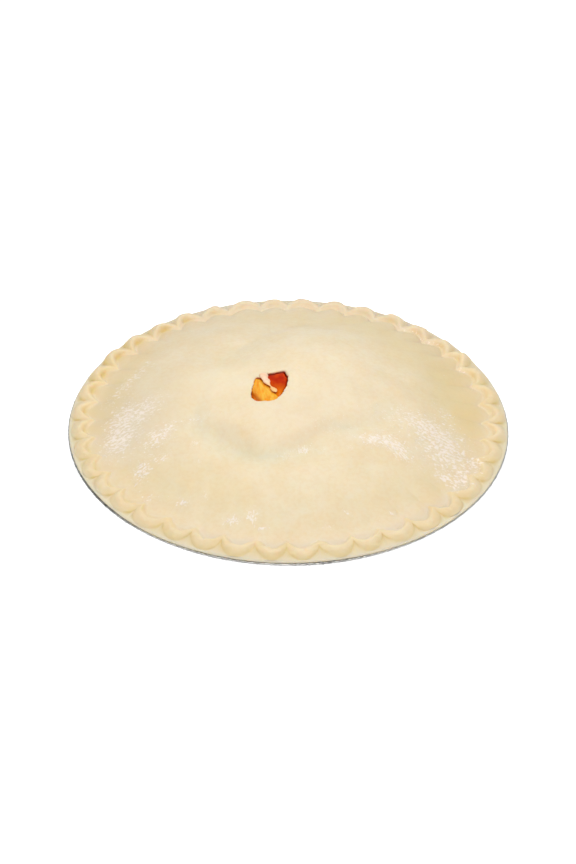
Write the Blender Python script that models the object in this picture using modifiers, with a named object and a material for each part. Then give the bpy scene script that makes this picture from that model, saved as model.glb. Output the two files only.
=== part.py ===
"""Unbaked peach pie in its foil tin: pie_tin, pastry (crimped crust with a vent) and peach_filling.

Metres, +Z up. The origin is the middle of the tin's underside, which stands on z = 0, and -Y is the front.
A rise is a height above the top of the tin's rim, and an inset is a distance in from the rim's outer edge.
"""

import math
import random

import bmesh
import bpy

# Foil tin
TIN_RADIUS = 0.122
TIN_HEIGHT = 0.0225
FLANGE = 0.011
WALL_RUN = 0.020
FOIL = 0.0005
BEAD_RADIUS = 0.00055
BEAD_STEPS = 6
BEAD_TURN = math.radians(45)
FLOOR_CORNER = 0.005
MOUTH_CORNER = 0.0025
MOUTH_RADIUS = TIN_RADIUS - FLANGE
FLOOR_RADIUS = MOUTH_RADIUS - WALL_RUN

# Pastry
GAP = 0.0003
DOUGH = 0.0026
BRIM_RADIUS = TIN_RADIUS - 0.0006
BRIM_EDGE = 0.0006
DOME_RADIUS = TIN_RADIUS - 0.0152
DOME_RISE = 0.0230
DOME_FULLNESS = 2.4
VALLEY_RISE = 0.0032

# How sharply the lid drops at its foot: the lower the power, the steeper. It is steepest at the back
STEEP_SIDE = math.radians(80)
STEEP_POWER = 0.60
EASY_POWER = 1.25

# Swells and hollows of the lid: middle x and y, half length, half width, turn in degrees, height
SWELLS = {
    "mound behind the vent": (0.014, 0.022, 0.052, 0.032, 42, 0.0095),
    "right shoulder": (0.040, -0.010, 0.036, 0.030, 0, 0.0040),
    "left shoulder": (-0.056, 0.006, 0.026, 0.024, 0, 0.0040),
    "shelf at the back left": (-0.040, 0.062, 0.030, 0.015, 20, 0.0035),
    "fold left of the mound": (-0.018, 0.044, 0.030, 0.009, 44, -0.0035),
    "front edge of the mound": (-0.004, -0.026, 0.046, 0.014, 0, 0.0030),
    "front terrace": (0.004, -0.072, 0.064, 0.020, 0, 0.0030),
    "crease at the front left": (-0.034, -0.050, 0.028, 0.010, -20, -0.0035),
    "crease at the front right": (0.022, -0.048, 0.034, 0.010, 22, -0.0030),
    "hollow at the near left": (-0.088, -0.044, 0.018, 0.016, 0, -0.0030),
    "hollow at the right": (0.092, 0.020, 0.014, 0.044, 0, -0.0050),
}

# Crimped edge, pinched in at the cusps and swung out at the lobes. Each line runs all round the rim:
# inset and rise at the cusps, inset and rise at the lobes, and how pointed the lobes are
SCALLOPS = 40
FIRST_CUSP = math.radians(-90)
CRIMP_LINES = {
    "foot on the brim": (0.0107, 0.0017, 0.0023, 0.0019, 1.00),
    "outer face": (0.0105, 0.0036, 0.0029, 0.0043, 0.85),
    "outer crest": (0.0109, 0.0050, 0.0043, 0.0062, 0.72),
    "inner crest": (0.0122, 0.0054, 0.0062, 0.0065, 0.72),
    "inner face": (0.0135, 0.0051, 0.0073, 0.0046, 0.80),
    "pit behind the lobe": (0.0146, 0.0044, 0.0086, 0.0019, 1.00),
    "valley at the lid's foot": (0.0156, 0.0037, 0.0122, 0.0026, 1.20),
}
BRIM_RISE = 0.0017
SEED = 7
CUSP_SHIFT = 0.07
LOBE_SIZES = (0.86, 1.05)
LOBE_LIFT = 0.0005

# Vent: a hand-torn hole, its corners given round its own middle
VENT_X = -0.0102
VENT_Y = -0.0020
VENT_CORNERS = (
    (0.0100, 0.0026),
    (0.0088, 0.0108),
    (0.0030, 0.0114),
    (-0.0030, 0.0118),
    (-0.0050, 0.0092),
    (-0.0086, 0.0090),
    (-0.0100, -0.0026),
    (-0.0084, -0.0088),
    (-0.0020, -0.0098),
    (0.0034, -0.0090),
    (0.0074, -0.0046),
)
CURVE_STEPS = 12
LIP_SPREAD = 1.08
LIP_DROPS = (0.25 * DOUGH, 0.85 * DOUGH)

# Filling: a peach slice near the vent's near left, and syrup that lies lower at its far right
CAVITY_RADIUS = MOUTH_RADIUS - 0.009
CAVITY_WALL_DROP = 0.0036
CAVITY_FLOOR_RADIUS = FLOOR_RADIUS - 0.0025
SYRUP_DROP = 0.0062
SYRUP_SIDE = math.radians(38)
SYRUP_START = -0.003
SYRUP_RUN = 0.008
SYRUP_REACH = 0.016
TOP_SPREADS = (0.25, 0.55, 0.82)

# Points round a ring, each count a multiple of the next, and rings across a face
CRIMP_POINTS = 6 * SCALLOPS
ROUND_POINTS = 80
HIDDEN_POINTS = 40
DOME_RINGS = 14
LID_RINGS = 6
CLOSING = 0.6

SHARP_EDGE = math.radians(50)


def mix(start, end, share):
    return start + (end - start) * share


def on_circle(radius, angle):
    return (radius * math.cos(angle), radius * math.sin(angle))


def even_angles(count):
    """Angles of count points round a ring, from the front cusp on."""
    return [FIRST_CUSP + 2 * math.pi * step / count for step in range(count)]


def swell_height(x, y):
    """Sum of the lid's swells and hollows at a place."""
    total = 0
    for middle_x, middle_y, half_length, half_width, turn, height in SWELLS.values():
        cosine = math.cos(math.radians(turn))
        sine = math.sin(math.radians(turn))
        along = ((x - middle_x) * cosine + (y - middle_y) * sine) / half_length
        across = ((y - middle_y) * cosine - (x - middle_x) * sine) / half_width
        total += height * math.exp(-(along**2 + across**2))
    return total


def dome_height(x, y):
    """Height of the lid's upper face: a full pillow, its swells fading out at its foot."""
    fullness = (math.hypot(x, y) / DOME_RADIUS) ** DOME_FULLNESS
    steepness = 0.5 + 0.5 * math.cos(math.atan2(y, x) - STEEP_SIDE)
    pillow = max(0, 1 - fullness) ** mix(EASY_POWER, STEEP_POWER, steepness)
    rise = (DOME_RISE - VALLEY_RISE + swell_height(x, y)) * pillow
    return TIN_HEIGHT + VALLEY_RISE + rise


def scallop_rows():
    """One (start angle, end angle, lobe size, lobe lift) for each scallop, uneven as pinched dough is."""
    draw = random.Random(SEED)
    pitch = 2 * math.pi / SCALLOPS
    cusps = []
    for step in range(SCALLOPS):
        cusps.append(FIRST_CUSP + pitch * (step + draw.uniform(-CUSP_SHIFT, CUSP_SHIFT)))
    cusps.append(cusps[0] + 2 * math.pi)
    rows = []
    for start, end in zip(cusps, cusps[1:]):
        rows.append((start, end, draw.uniform(*LOBE_SIZES), draw.uniform(-LOBE_LIFT, LOBE_LIFT)))
    return rows


def crimp_ring(cusp_inset, cusp_rise, lobe_inset, lobe_rise, pointedness):
    """Wavy loop of points: pinched in at each cusp and swung out at each lobe."""
    points = []
    per_scallop = CRIMP_POINTS // SCALLOPS
    for start, end, size, lift in scallop_rows():
        for step in range(per_scallop):
            share = step / per_scallop
            swing = size * math.sin(math.pi * share) ** pointedness
            radius = TIN_RADIUS - mix(cusp_inset, lobe_inset, swing)
            rise = mix(cusp_rise, lobe_rise + lift, swing)
            points.append((*on_circle(radius, mix(start, end, share)), TIN_HEIGHT + rise))
    return points


def level_ring(radius, height, count):
    """Round level loop of points."""
    return [(*on_circle(radius, angle), height) for angle in even_angles(count)]


def brim_ring(radius, rise):
    """Round level loop whose points lie at the same angles as the crimp's."""
    inset = TIN_RADIUS - radius
    points = crimp_ring(inset, rise, inset, rise, 1)
    return [(x, y, TIN_HEIGHT + rise) for x, y, _ in points]


def crimp_rings():
    """The dough's rim, from the brim's edge over the pinched wall to the valley at the lid's foot."""
    edge = [brim_ring(BRIM_RADIUS, BRIM_RISE - BRIM_EDGE), brim_ring(BRIM_RADIUS - BRIM_EDGE, BRIM_RISE)]
    return edge + [crimp_ring(*line) for line in CRIMP_LINES.values()]


def curve_value(before, start, end, after, share):
    """Value on a smooth curve between start and end, given its neighbours."""
    square = 2 * before - 5 * start + 4 * end - after
    cube = 3 * start - before - 3 * end + after
    return start + 0.5 * share * (end - before + share * (square + share * cube))


def vent_outline(count):
    """Smooth closed curve through the vent's corners, as points at even turns round its middle."""
    fine = []
    for index in range(len(VENT_CORNERS)):
        corners = [VENT_CORNERS[(index + step) % len(VENT_CORNERS)] for step in (-1, 0, 1, 2)]
        for step in range(CURVE_STEPS):
            fine.append(tuple(curve_value(*values, step / CURVE_STEPS) for values in zip(*corners)))
    outline = []
    for angle in even_angles(count):
        nearest = max(fine, key=lambda point: math.cos(math.atan2(point[1], point[0]) - angle))
        outline.append(on_circle(math.hypot(*nearest), angle))
    return outline


def lid_ring(share, count, spread=1.0, outer_radius=DOME_RADIUS):
    """Plan of a loop on the lid, from the vent's outline at share 0 to a circle round the pie at share 1."""
    plan = []
    for angle, (vent_x, vent_y) in zip(even_angles(count), vent_outline(count)):
        outer_x, outer_y = on_circle(outer_radius, angle)
        x = mix(VENT_X + vent_x * spread, outer_x, share)
        y = mix(VENT_Y + vent_y * spread, outer_y, share)
        plan.append((x, y))
    return plan


def draped(plan, drop=0.0):
    """Points of a plan set on the lid's upper face, or below it by drop."""
    return [(x, y, dome_height(x, y) - drop) for x, y in plan]


def closing_shares(count):
    """Shares from 0 to 1 that lie closer together towards 1, where the lid is steep."""
    steps = [step / count for step in range(count + 1)]
    return [mix(step, math.sin(math.pi / 2 * step), CLOSING) for step in steps]


def dome_rings():
    """The lid's upper face from its foot in to the vent, and the vent's rounded lip."""
    shares = reversed(closing_shares(DOME_RINGS))
    rings = [draped(lid_ring(share, ROUND_POINTS, LIP_SPREAD)) for share in shares]
    return rings + [draped(lid_ring(0, ROUND_POINTS), drop) for drop in LIP_DROPS]


def cavity_rings(gap, count):
    """Space under the lid less a gap: from round the vent out to the wall, down it and over the floor."""
    radius = CAVITY_RADIUS - gap
    rings = []
    for share in closing_shares(LID_RINGS):
        rings.append(draped(lid_ring(share, count, LIP_SPREAD, radius), DOUGH + gap))
    rings.append(level_ring(radius, TIN_HEIGHT - CAVITY_WALL_DROP + gap, count))
    rings.append(level_ring(CAVITY_FLOOR_RADIUS - gap, FOIL + GAP + DOUGH + gap, count))
    return rings


def corner(radius, height, size, turn, side):
    """Point on a rounded corner that starts level at (radius, height) and turns by an angle, up or down."""
    return (radius + side * size * math.sin(turn), height + side * size * (1 - math.cos(turn)))


def tin_profile():
    """Middle line of the foil as (radius, height), from the axis out over the rim and round its bead."""
    floor = FOIL / 2
    top = TIN_HEIGHT - FOIL / 2
    lean = math.atan2(TIN_HEIGHT, WALL_RUN)
    floor_end = FLOOR_RADIUS - FLOOR_CORNER * math.tan(lean / 2)
    flange_start = MOUTH_RADIUS + MOUTH_CORNER * math.tan(lean / 2)
    bead_middle = TIN_RADIUS - FOIL / 2 - BEAD_RADIUS
    points = [(0, floor)]
    points += [corner(floor_end, floor, FLOOR_CORNER, turn, 1) for turn in (0, lean / 2, lean)]
    points += [corner(flange_start, top, MOUTH_CORNER, turn, -1) for turn in (lean, 0)]
    for step in range(BEAD_STEPS):
        x, y = on_circle(BEAD_RADIUS, math.pi / 2 - BEAD_TURN * step)
        points.append((bead_middle + x, top - BEAD_RADIUS + y))
    return points


def inward(profile, distance):
    """A profile moved towards the inside of the tin by a distance, square to its own line."""
    moved = []
    for index, (radius, height) in enumerate(profile):
        before = profile[max(index - 1, 0)]
        after = profile[min(index + 1, len(profile) - 1)]
        run = math.hypot(after[0] - before[0], after[1] - before[1])
        across = (before[1] - after[1]) / run
        up = (after[0] - before[0]) / run
        moved.append((radius + across * distance, height + up * distance))
    return moved


def base_rings():
    """The pastry's outside within the tin: its flat floor, the wall and the brim's underside."""
    without_bead = tin_profile()[: 2 - BEAD_STEPS]
    lining = inward(without_bead, FOIL / 2 + GAP)[1:-2]
    rings = [level_ring(radius, height, ROUND_POINTS) for radius, height in lining]
    rings.append(level_ring(BRIM_RADIUS - BRIM_EDGE, TIN_HEIGHT + GAP, ROUND_POINTS))
    return rings


def join_rings(mesh, first, second):
    """Faces between two loops whose counts are equal or one a multiple of the other."""
    longer = max(len(first), len(second))
    for step in range(longer):
        following = (step + 1) % longer
        corners = []
        for loop, steps in ((first, (step, following)), (second, (following, step))):
            times = longer // len(loop)
            for number in steps:
                point = loop[number // times]
                if point not in corners:
                    corners.append(point)
        mesh.faces.new(corners)


def loft(name, rings, collection):
    """Closed solid through a run of loops, its first and last closed by a flat face."""
    shape = bmesh.new()
    loops = [[shape.verts.new(point) for point in ring] for ring in rings]
    for first, second in zip(loops, loops[1:]):
        join_rings(shape, first, second)
    for end in (loops[0], loops[-1]):
        shape.faces.new(end)
    bmesh.ops.recalc_face_normals(shape, faces=shape.faces)
    mesh = bpy.data.meshes.new(name)
    shape.to_mesh(mesh)
    shape.free()
    mesh.shade_smooth()
    mesh.set_sharp_from_angle(angle=SHARP_EDGE)
    piece = bpy.data.objects.new(name, mesh)
    collection.objects.link(piece)
    return piece


def make_pastry(collection):
    """One piece of raw dough: base, crimped rim and vented lid."""
    rings = base_rings() + crimp_rings() + dome_rings() + cavity_rings(0, HIDDEN_POINTS)
    return loft("pastry", rings, collection)


def peach_drop(x, y):
    """How far the filling falls away below the lid, from the peach slice to the syrup beside it."""
    across = (x - VENT_X) * math.cos(SYRUP_SIDE) + (y - VENT_Y) * math.sin(SYRUP_SIDE)
    share = min(1, max(0, (across - SYRUP_START) / SYRUP_RUN))
    fade = math.exp(-((math.hypot(x - VENT_X, y - VENT_Y) / SYRUP_REACH) ** 4))
    return SYRUP_DROP * share**2 * (3 - 2 * share) * fade


def make_filling(collection):
    """Peach slices in syrup, filling the pastry and seen at the vent."""
    rings = [draped(lid_ring(0, ROUND_POINTS, spread), DOUGH + GAP) for spread in TOP_SPREADS]
    rings += cavity_rings(GAP, HIDDEN_POINTS)
    dropped = [[(x, y, z - peach_drop(x, y)) for x, y, z in ring] for ring in rings]
    return loft("peach_filling", dropped, collection)


def make_tin(collection):
    """Foil tin: a turned line, thickened to a sheet."""
    mesh = bpy.data.meshes.new("pie_tin")
    points = [(radius, 0, height) for radius, height in tin_profile()]
    mesh.from_pydata(points, [(index, index + 1) for index in range(len(points) - 1)], [])
    tin = bpy.data.objects.new("pie_tin", mesh)
    collection.objects.link(tin)
    turned = tin.modifiers.new("Turned", "SCREW")
    turned.steps = ROUND_POINTS
    turned.render_steps = ROUND_POINTS
    turned.use_merge_vertices = True
    turned.merge_threshold = 0.00001
    turned.use_normal_calculate = True
    sheet = tin.modifiers.new("Sheet", "SOLIDIFY")
    sheet.thickness = FOIL
    sheet.offset = 0
    sheet.use_even_offset = True
    return tin


def principled(name, colour, roughness, metallic=0.0):
    """Material of one colour."""
    material = bpy.data.materials.new(name)
    material.use_nodes = True
    shader = material.node_tree.nodes["Principled BSDF"]
    shader.inputs["Base Color"].default_value = (*colour, 1)
    shader.inputs["Roughness"].default_value = roughness
    shader.inputs["Metallic"].default_value = metallic
    return material


def clear_scene():
    for item in list(bpy.data.objects):
        bpy.data.objects.remove(item, do_unlink=True)


def main():
    clear_scene()
    collection = bpy.data.collections.new("peach_pie")
    bpy.context.scene.collection.children.link(collection)
    tin = make_tin(collection)
    pastry = make_pastry(collection)
    filling = make_filling(collection)
    tin.data.materials.append(principled("foil", (0.60, 0.60, 0.59), 0.32, metallic=1.0))
    pastry.data.materials.append(principled("raw_dough", (0.83, 0.70, 0.47), 0.62))
    filling.data.materials.append(principled("peach_syrup", (0.78, 0.26, 0.03), 0.15))


main()
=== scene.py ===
"""Looks of an unbaked peach pie in its foil tin: floured raw dough, torn vent, glossy peach and thin foil.

Metres, but millimetres in the tables of swells, patches, corners and paths. The tin stands on z = 0 with its
middle at the origin, +Z is up and -Y is the front. A rise is a height above the top of the tin's rim, and an
inset is a distance in from the rim's outer edge.
"""

import math
import random

import bmesh
import bpy
import numpy as np
from mathutils import Matrix, Vector
from mathutils.bvhtree import BVHTree


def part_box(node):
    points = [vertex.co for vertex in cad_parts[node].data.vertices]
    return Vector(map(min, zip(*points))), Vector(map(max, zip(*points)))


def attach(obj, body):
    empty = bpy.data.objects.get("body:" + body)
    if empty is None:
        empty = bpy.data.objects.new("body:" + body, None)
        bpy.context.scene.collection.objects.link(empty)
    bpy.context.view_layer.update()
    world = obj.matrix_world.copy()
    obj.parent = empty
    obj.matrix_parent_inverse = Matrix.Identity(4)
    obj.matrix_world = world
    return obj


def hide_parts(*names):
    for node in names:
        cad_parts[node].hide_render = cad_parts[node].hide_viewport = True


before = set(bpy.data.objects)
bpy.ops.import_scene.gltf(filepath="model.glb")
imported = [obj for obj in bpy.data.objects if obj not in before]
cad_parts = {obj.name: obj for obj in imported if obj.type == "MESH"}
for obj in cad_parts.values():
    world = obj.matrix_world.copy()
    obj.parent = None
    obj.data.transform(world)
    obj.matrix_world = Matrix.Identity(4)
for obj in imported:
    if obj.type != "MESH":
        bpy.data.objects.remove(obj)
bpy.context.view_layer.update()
TIN_LOW, TIN_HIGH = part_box("pie_tin")

MM = 0.001

# Foil tin
TIN_RADIUS = TIN_HIGH.x
TIN_HEIGHT = TIN_HIGH.z
FLANGE = 0.011
WALL_RUN = 0.02
FOIL = 0.0005
BEAD_RADIUS = 0.00036
BEAD_STEPS = 16
BEAD_TURN = math.radians(225)
FLOOR_CORNER = 0.005
MOUTH_CORNER = 0.0025
CORNER_STEPS = 6
MOUTH_RADIUS = TIN_RADIUS - FLANGE
FLOOR_RADIUS = MOUTH_RADIUS - WALL_RUN

# Points of the tin's profile, as shares of the way over its floor, wall and flange
FLOOR_SHARES = (0.02, 0.25, 0.5, 0.75, 0.9)
WALL_SHARES = (0.2, 0.4, 0.6, 0.8)
FLANGE_SHARES = (0.33, 0.66)

# Pleats of the wall, the heights over which they start, and how far in from the mouth they end
PLEATS = 96
PLEAT_DEPTH = 0.0009
PLEAT_FOOT = (0.004, 0.012)
PLEAT_END = 0.004
PLEAT_EVENNESS = 0.75

# The crinkled bead: how far in from the rim's edge it starts and is full, how its crinkles climb, and the
# least painted darkening on it
BEAD_START = 0.0022
BEAD_FULL = 0.0006
CRINKLE_CLIMB = 40
LEAST_DARK_BEAD = 0.12

# Where the bead is painted darker, for dark reflections: direction and half width in degrees, strength
DARK_BEAD_SPOTS = {
    "front right": (-80, 12, 0.75),
    "front": (-106, 14, 0.55),
    "near left": (-149, 17, 0.95),
    "left": (176, 14, 0.45),
    "right": (6, 14, 0.45),
}

# Lid of raw dough
GAP = 0.0003
DOUGH = 0.0026
BRIM_RADIUS = TIN_RADIUS - 0.0004
BRIM_EDGE = 0.001
EDGE_DROP = 0.0009
BRIM_RISE = 0.0015
BRIM_BACK_RISE = 0.0013
BRIM_WAVE = 0.0003
BRIM_SHORT = 0.00025
DOME_RADIUS = TIN_RADIUS - 0.0152
DOME_RISE = 0.023
DOME_FULLNESS = 2.4
VALLEY_RISE = 0.0032
STEEP_SIDE = math.radians(80)
STEEP_POWER = 0.6
EASY_POWER = 1.25
FOOT_EASE = 0.001
FOOT_EASE_REACH = 12 * FOOT_EASE

# Shares of the way out over the lid at which it starts to follow the crimp in plan and to lose its relief,
# starts to follow the crimp in height, and has no more relief
EASE_FROM = 0.8
FOOT_FROM = 0.93
RELIEF_END = 0.98

# Swells and hollows of the lid: middle x and y, half length, half width, turn in degrees, height
SWELLS = {
    "mound behind the vent": (14, 28, 52, 34, 42, 9),
    "right shoulder": (54, 0, 40, 32, 0, 4.4),
    "left shoulder": (-58, 10, 28, 26, 0, 4.8),
    "back left shelf": (-40, 62, 30, 15, 20, 2.6),
    "left fold": (-26, 40, 26, 10, 48, -1.2),
    "front edge of the mound": (-4, -26, 46, 14, 0, 3),
    "front terrace": (4, -72, 64, 20, 0, 3),
    "front left crease": (-38, -37, 24, 9, -38, -3.4),
    "front crease": (-12, -50, 20, 10, 8, -1.8),
    "front right crease": (38, -23, 24, 10, 12, -3),
    "hollow behind the mound": (12, 80, 52, 22, 0, -3.4),
    "near left dip": (-88, -44, 18, 16, 0, -3),
    "right hollow": (92, 20, 14, 44, 0, -5),
}

# Step down round the mound: its middle, then x, y and height at each corner round that middle, the shares of
# the way out between which it falls, and how much of it sinks the lid outside
MOUND_MIDDLE = (0.004, 0.01)
MOUND_EDGE = (
    (58, 0, 0.2), (44, 32, 0.6), (28, 58, 1.8),
    (8, 67, 2.6), (-14, 51, 2.4), (-30, 33, 1.6),
    (-44, 8, 0.6), (-52, -26, 3), (-38, -42, 4),
    (-18, -56, 4), (4, -49, 4), (20, -38, 2.6),
    (42, -30, 2.2),
)
MOUND_SOFTNESS = (0.86, 1.08)
MOUND_SINK = 0.8

# Uneven fields: size, wavelength and seed
LID_RELIEF = ((0.00016, 0.024, 0), (0.00006, 0.009, 1), (0.00002, 0.0035, 2))
CRIMP_RELIEF = ((0.00018, 0.006, 40), (0.00005, 0.0022, 40))
TORN_EDGE = (0.00012, 0.24, 61)
PLEAT_DRIFT = (0.8, 0.7, 71)
PLEAT_VARIETY = (0.25, 0.5, 72)
CRINKLES = (0.00009, 0.016, 73)
FLOUR_CLUMPS = (1.5, 0.004, 81)

# Crimped edge, pinched in at the cusps and swung out at the lobes. Each line runs all round the rim: inset
# and rise at the cusps, inset and rise at the lobes, how pointed the lobes are, and how much further out the
# cusps and the lobes lie at the sides
SCALLOPS = 40
FIRST_CUSP = math.radians(-90)
CRIMP_LINES = {
    "foot on the brim": (0.0098, 0.004, 0.0012, 0.0016, 0.6, 0.002, 0.0001),
    "outer face": (0.0101, 0.0043, 0.0024, 0.0028, 0.7, 0.002, 0.0006),
    "outer crest": (0.0107, 0.0046, 0.0043, 0.0045, 0.85, 0.0006, 0.001),
    "inner crest": (0.0117, 0.0049, 0.0064, 0.0053, 0.95, -0.001, 0.0011),
    "inner face": (0.0129, 0.0047, 0.0082, 0.0048, 1.05, -0.0008, 0.0011),
    "pit behind the lobe": (0.0141, 0.0042, 0.0096, 0.0038, 1.1, -0.0004, 0.001),
    "valley at the lid's foot": (0.0154, 0.0036, 0.0114, 0.0032, 1.2, 0, 0.0006),
}
CREST_RISE = CRIMP_LINES["inner crest"][3]
FRONT_LOSS = 0.0005
BACK_GAIN = 0.0011
SQUARENESS = 0.24
SEED = 7
CUSP_SHIFT = 0.07
LOBE_SIZES = (0.9, 1.02)
LOBE_LIFT = 0.0005
LEANS = (0.86, 1.16)

# Places between the crimp's lines, counted from the foot on the brim
FACE = 1.0
CREST = 2.5
PIT = 5.0
VALLEY = 6.0

# Hollow behind each lobe: place and spread between the lines, depth, and its share near and at the sides
HOLLOW_PLACE = PIT - 0.2
HOLLOW_SPREAD = 0.8
HOLLOW_DEPTH = 0.0018
NEAR_HOLLOW = 0.35
SIDE_HOLLOW = 0.45

# Spots of painted shade and painted light on the crimp: place and spread between the lines, and strength
PAINTED_SPOTS = {
    "face": (0.4, 0.9, 1),
    "notch": (0.3, 1.1, 1),
    "near crease": (0.7, 1.0, 0.45),
    "back notch": (1.6, 1.8, 0.55),
    "pit": (PIT - 0.2, 0.7, 0.95),
    "valley": (VALLEY, 0.9, 0.3),
    "side pit": (PIT, 1.0, 0.16),
    "pit shade": (PIT, 1.0, 0.4),
    "crest": (CREST + 0.3, 0.9, 0.35),
    "pale notch": (0, 1.2, 0.35),
    "pale face": (0.6, 0.9, 0.55),
}

# Painted shade in amber on the lobes' faces at the sides and in front, and strength and narrowness of the
# painted shade in the notches there
FACE_AMBER = (0.14, 0.38)
SIDE_NOTCH, SIDE_NOTCH_POWER = 0.38, 4
FRONT_NOTCH, FRONT_NOTCH_POWER = 0.5, 50
BACK_NOTCH_LOSS = 0.8
SIDE_PIT = 0.25

# Yellow tone of the crimp, and painted grey shade on it behind the near lobes, at the back and at the cusps'
# inner tips
CRIMP_YOLK = 0.6
BACK_YOLK_LOSS = 0.75
NEAR_SHADE = 1.1
SHADE_START = CREST + 0.8
BACK_SHADE = 0.6
CUSP_SHADE = 0.5
INNER_START = PIT - 0.6

# Painted shade and painted light on the brim at the sides, and what the front and the back add to them
BRIM_SHADE = (0.1, 0.8, 0.8)
BRIM_LIGHT = (0.75, -0.35, -0.75)
BRIM_YOLK = 0.15
# Painted shade on the brim's rounded edge, growing as it turns down
EDGE_SHADE = 0.5
EDGE_TURNS = np.radians((0, 35, 65, 90))

# Vent: a hand-torn hole, its corners given round its own middle
VENT_X = -0.0102
VENT_Y = -0.002
VENT_CORNERS = (
    (9.8, 3), (9, 9.6), (7.7, 12.4), (3, 11.7),
    (-3.4, 11.2), (-4.6, 9), (-7.8, 8.6), (-9.2, 3),
    (-10.3, -5.8), (-8, -11.2), (-3, -12), (1.4, -12.2),
    (4.9, -9.2), (7.9, -3.6),
)
CURVE_STEPS = 40
LIP_SPREAD = 1.08

# The vent's lip from its top down: spread, drop as a share of the dough's thickness, and stain of juice
LIP = (
    (1.045, 0.02, 0.01), (1.02, 0.08, 0.07), (1.005, 0.18, 0.2), (1, 0.32, 0.7),
    (1, 0.58, 1), (1, 0.85, 1), (1.03, 0.96, 1),
)

# Filling: a peach slice at the vent's near left, and syrup that is sunk under it and falls to the far right
CAVITY_RADIUS = MOUTH_RADIUS - 0.009
CAVITY_WALL_DROP = 0.0036
CAVITY_FLOOR = FLOOR_RADIUS - 0.0025
SYRUP_RINGS = 22
SYRUP_START = 0.06
SYRUP_RISE = 0.003
SYRUP_DROP = 0.0006
SYRUP_SIDE = math.radians(38)
SYRUP_FALL = (-0.003, 0.005)
SYRUP_REACH = 0.016
SYRUP_SUNK = 0.0026
SYRUP_FULLNESS = 16
SUNK_EDGE = (0.003, -0.001)
SUNK_AMBER = 0.8
FRONT_AMBER = (0.004, -0.009)
SLICE_SIZE = (0.025, 0.0092, 0.0066)
SLICE_TURN = math.radians(-64)
SLICE_SIDE = SLICE_TURN + math.pi / 2
SLICE_SHIFT = (-0.0025, -0.0026)
SLICE_DROP = 0.0008
SLICE_BOW = 0.0003
SLICE_FULLNESS = 2.6
SLICE_END = 0.985
SLICE_RINGS = 48
SLICE_POINTS = 72
BROAD_RIBS, BROAD_RIB_DEPTH = 9, 0.03
FINE_RIBS, FINE_RIB_DEPTH = 17, 0.02
RIB_SWAYS, RIB_SWAY = 3, 2
RIB_TWIST = 5
# Painted shade along the slice's edges: where brown starts and is full on its left, and where paler brown
# starts and is full on its right and how strong it is
BROWN_EDGE = (0.36, 0.84)
PALER_EDGE, PALER_BROWN = (0.5, 1.0), 0.4

# Shred of dough across the vent: x and y from the vent's middle, and its half width
SHRED_PATH = (
    (-4, 11.2, 2.1), (-3.3, 9, 2.2), (-2.7, 6.4, 1.6),
    (-1.7, 4, 1.8), (-0.9, 1.8, 0.9), (0.4, -0.2, 0.3),
    (1.4, -2, 1.1), (2.6, -3.8, 1.4), (3.4, -5.2, 0.4),
)
SHRED_DROP = 0.0002
SHRED_FLATNESS = 0.5
SHRED_LEAN = 0.4
SHRED_SOAKED = (0.3, 0.7)
SHRED_RINGS = 40
SHRED_POINTS = 16
SHRED_END = 0.001

# Points round a ring, the shares of the way out over the lid where they get closer, and rings across a face
LOBE_POINTS = 18
CRIMP_POINTS = LOBE_POINTS * SCALLOPS
MIDDLE_POINTS = CRIMP_POINTS // 2
VENT_POINTS = CRIMP_POINTS // 4
BASE_POINTS = CRIMP_POINTS // 8
MIDDLE_FROM = 0.16
CRIMP_FROM = 0.45
LINE_STEPS = 5
DOME_RINGS = 116
LID_RINGS = 8
CLOSING = 0.6

# Colour marks on the points, in the order of a ring's columns after x, y and z
MARKS = ("yolk", "amber", "blush", "juice", "pale")
AMBER_COLUMN = 3 + MARKS.index("amber")

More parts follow.
